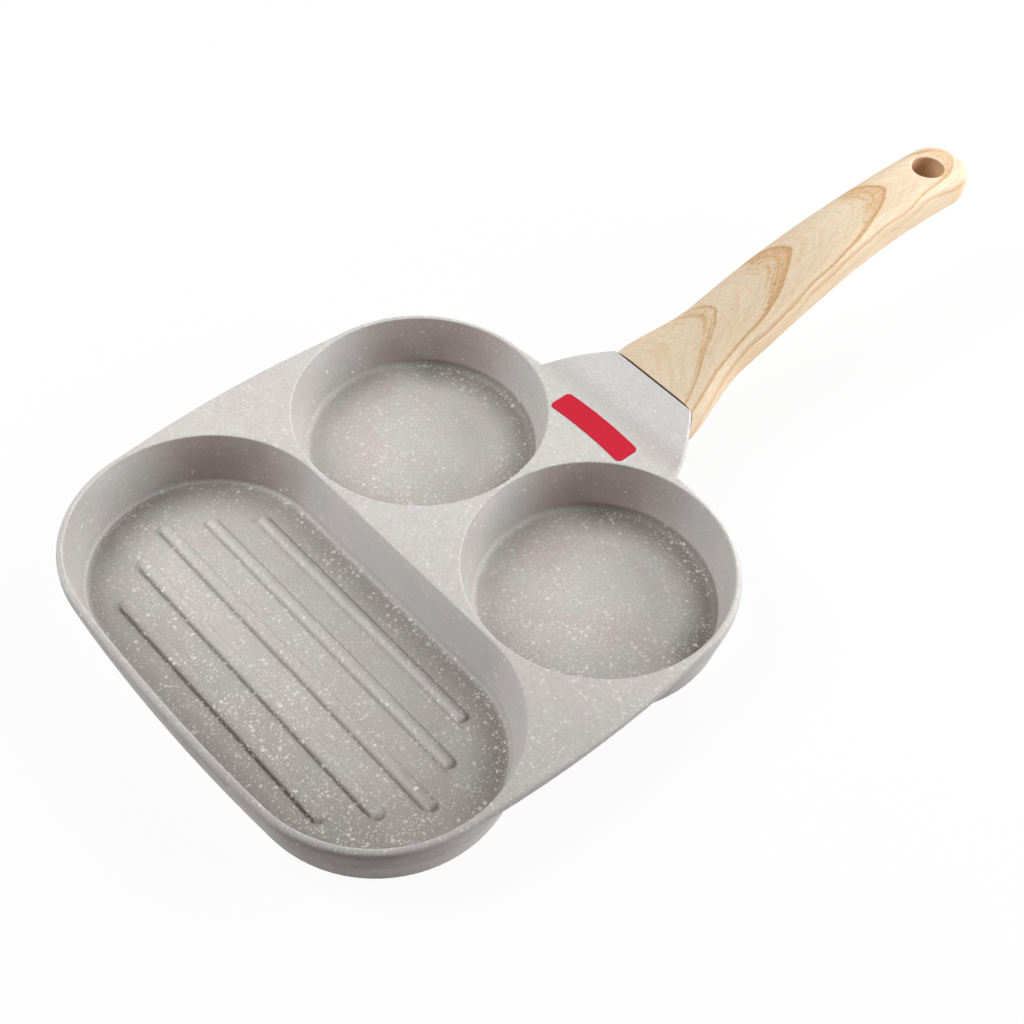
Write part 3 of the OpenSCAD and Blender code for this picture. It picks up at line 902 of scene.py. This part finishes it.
def smooth_tree():
    """Geometry nodes that join the CAD facets and shade them smooth up to the real edges."""
    tree = bpy.data.node_groups.new("smooth_casting", "GeometryNodeTree")
    tree.interface.new_socket("Geometry", in_out="INPUT", socket_type="NodeSocketGeometry")
    tree.interface.new_socket("Geometry", in_out="OUTPUT", socket_type="NodeSocketGeometry")
    enter = tree.nodes.new("NodeGroupInput")
    leave = tree.nodes.new("NodeGroupOutput")
    bare = add(
        tree,
        "GeometryNodeRemoveAttribute",
        {"Geometry": enter.outputs[0], "Name": "custom_normal"},
    )
    joined = add(
        tree,
        "GeometryNodeMergeByDistance",
        {"Geometry": bare.outputs[0], "Distance": WELD},
    )
    smooth = add(
        tree,
        "GeometryNodeSetShadeSmooth",
        {"Geometry": joined.outputs[0], "Shade Smooth": True},
        domain="FACE",
    )
    bend = add(tree, "GeometryNodeInputMeshEdgeAngle")
    sharp = add(
        tree,
        "FunctionNodeCompare",
        {0: bend.outputs["Unsigned Angle"], 1: REAL_EDGE},
        operation="GREATER_THAN",
    )
    crisp = add(
        tree,
        "GeometryNodeSetShadeSmooth",
        {"Geometry": smooth.outputs[0], "Selection": sharp.outputs[0], "Shade Smooth": False},
        domain="EDGE",
    )
    tree.links.new(crisp.outputs[0], leave.inputs[0])
    return tree


def shade_smooth(node):
    """Adds the modifiers that shade a CAD node smooth. Its own mesh isn't changed."""
    if smooth_tree not in GROUPS:
        GROUPS[smooth_tree] = smooth_tree()
    node.modifiers.new("Smooth casting", "NODES").node_group = GROUPS[smooth_tree]
    weighted = node.modifiers.new("Even shading", "WEIGHTED_NORMAL")
    weighted.keep_sharp = True


def dress(node_name, material):
    """Gives a CAD node its material in every slot."""
    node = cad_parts[node_name]
    node.data.materials.clear()
    node.data.materials.append(material)
    shade_smooth(node)


# Operators


class EGGPAN_OT_coat_body(Operator):
    """Coats the cast pan body with the speckled stone coating"""

    bl_idname = "eggpan.coat_body"
    bl_label = "Coat the Pan Body"

    def execute(self, context):
        dress("pan_body", coating_material(context.scene.eggpan_coating))
        return {"FINISHED"}


class EGGPAN_OT_grain_handle(Operator):
    """Prints the wood grain on the moulded handle"""

    bl_idname = "eggpan.grain_handle"
    bl_label = "Grain the Handle"

    def execute(self, context):
        dress("handle", handle_material(context.scene.eggpan_handle))
        return {"FINISHED"}


class EGGPAN_OT_enamel_badge(Operator):
    """Fills the badge with plain red enamel"""

    bl_idname = "eggpan.enamel_badge"
    bl_label = "Enamel the Badge"

    def execute(self, context):
        dress("badge", enamel_material(context.scene.eggpan_badge))
        return {"FINISHED"}


class EGGPAN_OT_handle_screw(Operator):
    """Finishes the hidden handle screw in steel"""

    bl_idname = "eggpan.handle_screw"
    bl_label = "Finish the Screw"

    def execute(self, context):
        dress("handle_screw", steel_material(context.scene.eggpan_screw))
        return {"FINISHED"}


# Studio

# Half the ground's side, its cells along a side, and how far it lies below the pan's base
GROUND_HALF = 3.0
GROUND_CELLS = 8
GROUND_DROP = 0.2 * MM

# Width of the camera's sensor in mm
SENSOR = 36

# The ground's white: from and to in metres from the pan, and its strength at both
GROUND_WHITE = (0.4, 1.2, 1.06, 1.15)


def seen_directly(tree):
    """1 for the rays that show the studio to the camera, in gloss or through a hole."""
    path = add(tree, "ShaderNodeLightPath").outputs
    seen = calc(tree, "MAXIMUM", path["Is Camera Ray"], path["Is Glossy Ray"])
    return calc(tree, "MAXIMUM", seen, path["Is Transmission Ray"])


def floor_material(look):
    """Grey floor for bounced light that shows white to the camera, under a soft shadow.

    Seen from below it is clear, so the pan's underside shows."""
    material = bpy.data.materials.new("studio_floor")
    material.use_nodes = True
    tree = material.node_tree
    tree.nodes.clear()
    matt = add(tree, "ShaderNodeBsdfDiffuse", {"Color": tuple(look.floor)})
    here = tree.nodes.new("ShaderNodeTexCoord").outputs["Object"]
    out = add(tree, "ShaderNodeVectorMath", {0: here}, operation="LENGTH").outputs["Value"]
    white = span(tree, out, *GROUND_WHITE)
    glow = add(tree, "ShaderNodeEmission", {"Color": WHITE, "Strength": white})
    seen = times(tree, seen_directly(tree), look.glow)
    top = add(tree, "ShaderNodeMixShader", {0: seen, 1: matt.outputs[0], 2: glow.outputs[0]})
    below = add(tree, "ShaderNodeNewGeometry").outputs["Backfacing"]
    clear = add(tree, "ShaderNodeBsdfTransparent").outputs[0]
    shown = add(tree, "ShaderNodeMixShader", {0: below, 1: top.outputs[0], 2: clear})
    output = tree.nodes.new("ShaderNodeOutputMaterial")
    tree.links.new(shown.outputs[0], output.inputs["Surface"])
    return material


def make_floor(look):
    """Level floor just under the pan's base."""
    mesh = bpy.data.meshes.new("floor")
    shape = bmesh.new()
    bmesh.ops.create_grid(
        shape, x_segments=GROUND_CELLS, y_segments=GROUND_CELLS, size=GROUND_HALF
    )
    shape.to_mesh(mesh)
    shape.free()
    floor = bpy.data.objects.new("floor", mesh)
    floor.location.z = -GROUND_DROP
    bpy.context.scene.collection.objects.link(floor)
    mesh.materials.append(floor_material(look))


def make_world():
    """White world that shows behind the pan but adds no light of its own."""
    world = bpy.data.worlds.new("studio_world")
    world.use_nodes = True
    tree = world.node_tree
    tree.nodes.clear()
    seen = seen_directly(tree)
    light = add(tree, "ShaderNodeBackground", {"Color": WHITE, "Strength": seen})
    output = tree.nodes.new("ShaderNodeOutputWorld")
    tree.links.new(light.outputs[0], output.inputs["Surface"])
    bpy.context.scene.world = world


def direction(azimuth, elevation):
    """Unit vector to a place at an azimuth round the pan and a height above the horizon."""
    level = math.cos(elevation)
    return Vector((math.sin(azimuth) * level, -math.cos(azimuth) * level, math.sin(elevation)))


def make_lamp(look, name, azimuth, elevation, energy):
    """Square lamp that aims at the middle of the pan."""
    data = bpy.data.lights.new(name, "AREA")
    data.shape = "SQUARE"
    data.size = look.lamp_size
    data.energy = energy
    lamp = bpy.data.objects.new(name, data)
    toward = direction(azimuth, elevation)
    lamp.location = Vector(look.middle) + toward * look.reach
    lamp.rotation_euler = (-toward).to_track_quat("-Z", "Y").to_euler()
    bpy.context.scene.collection.objects.link(lamp)


def make_camera(look):
    """Camera in the place that was solved from the photo's outline."""
    data = bpy.data.cameras.new("camera")
    data.lens = look.lens
    data.sensor_width = SENSOR
    camera = bpy.data.objects.new("camera", data)
    back = direction(look.azimuth, look.elevation)
    side = direction(look.azimuth + math.pi / 2, 0)
    up = back.cross(side)
    right = side * math.cos(look.roll) + up * math.sin(look.roll)
    over = up * math.cos(look.roll) - side * math.sin(look.roll)
    turn = Matrix((right, over, back)).transposed()
    eye = Vector(look.target) + back * look.distance
    camera.matrix_world = Matrix.Translation(eye) @ turn.to_4x4()
    bpy.context.scene.collection.objects.link(camera)
    bpy.context.scene.camera = camera


class EGGPAN_OT_studio(Operator):
    """Sets up the floor, the lamps, the world and the camera"""

    bl_idname = "eggpan.studio"
    bl_label = "Set Up the Studio"

    def execute(self, context):
        look = context.scene.eggpan_studio
        make_floor(look)
        make_world()
        make_lamp(look, "right", look.right_azimuth, look.low, look.right)
        make_lamp(look, "back", look.back_azimuth, look.low, look.back)
        make_lamp(look, "left", look.left_azimuth, look.high, look.left)
        make_camera(look)
        context.scene.view_settings.view_transform = "Standard"
        return {"FINISHED"}


STEPS = (
    EGGPAN_OT_coat_body,
    EGGPAN_OT_enamel_badge,
    EGGPAN_OT_grain_handle,
    EGGPAN_OT_handle_screw,
    EGGPAN_OT_studio,
)


class EGGPAN_PT_sidebar(Panel):
    """Lists the steps and the looks of the egg pan"""

    bl_label = "Egg Pan"
    bl_idname = "EGGPAN_PT_sidebar"
    bl_space_type = "VIEW_3D"
    bl_region_type = "UI"
    bl_category = "Egg Pan"

    def draw(self, context):
        for step in STEPS:
            self.layout.operator(step.bl_idname)
        for name in LOOKS:
            box = self.layout.box()
            look = getattr(context.scene, name)
            box.label(text=type(look).__name__)
            for key in type(look).__annotations__:
                box.prop(look, key)


CLASSES = (*LOOKS.values(), *STEPS, EGGPAN_PT_sidebar)


def register():
    for one in CLASSES:
        bpy.utils.register_class(one)
    for name, look in LOOKS.items():
        setattr(bpy.types.Scene, name, PointerProperty(type=look))


def unregister():
    for name in LOOKS:
        delattr(bpy.types.Scene, name)
    for one in reversed(CLASSES):
        bpy.utils.unregister_class(one)


def main():
    register()
    bpy.ops.eggpan.coat_body()
    bpy.ops.eggpan.enamel_badge()
    bpy.ops.eggpan.grain_handle()
    bpy.ops.eggpan.handle_screw()
    bpy.ops.eggpan.studio()


if __name__ == "__main__":
    main()
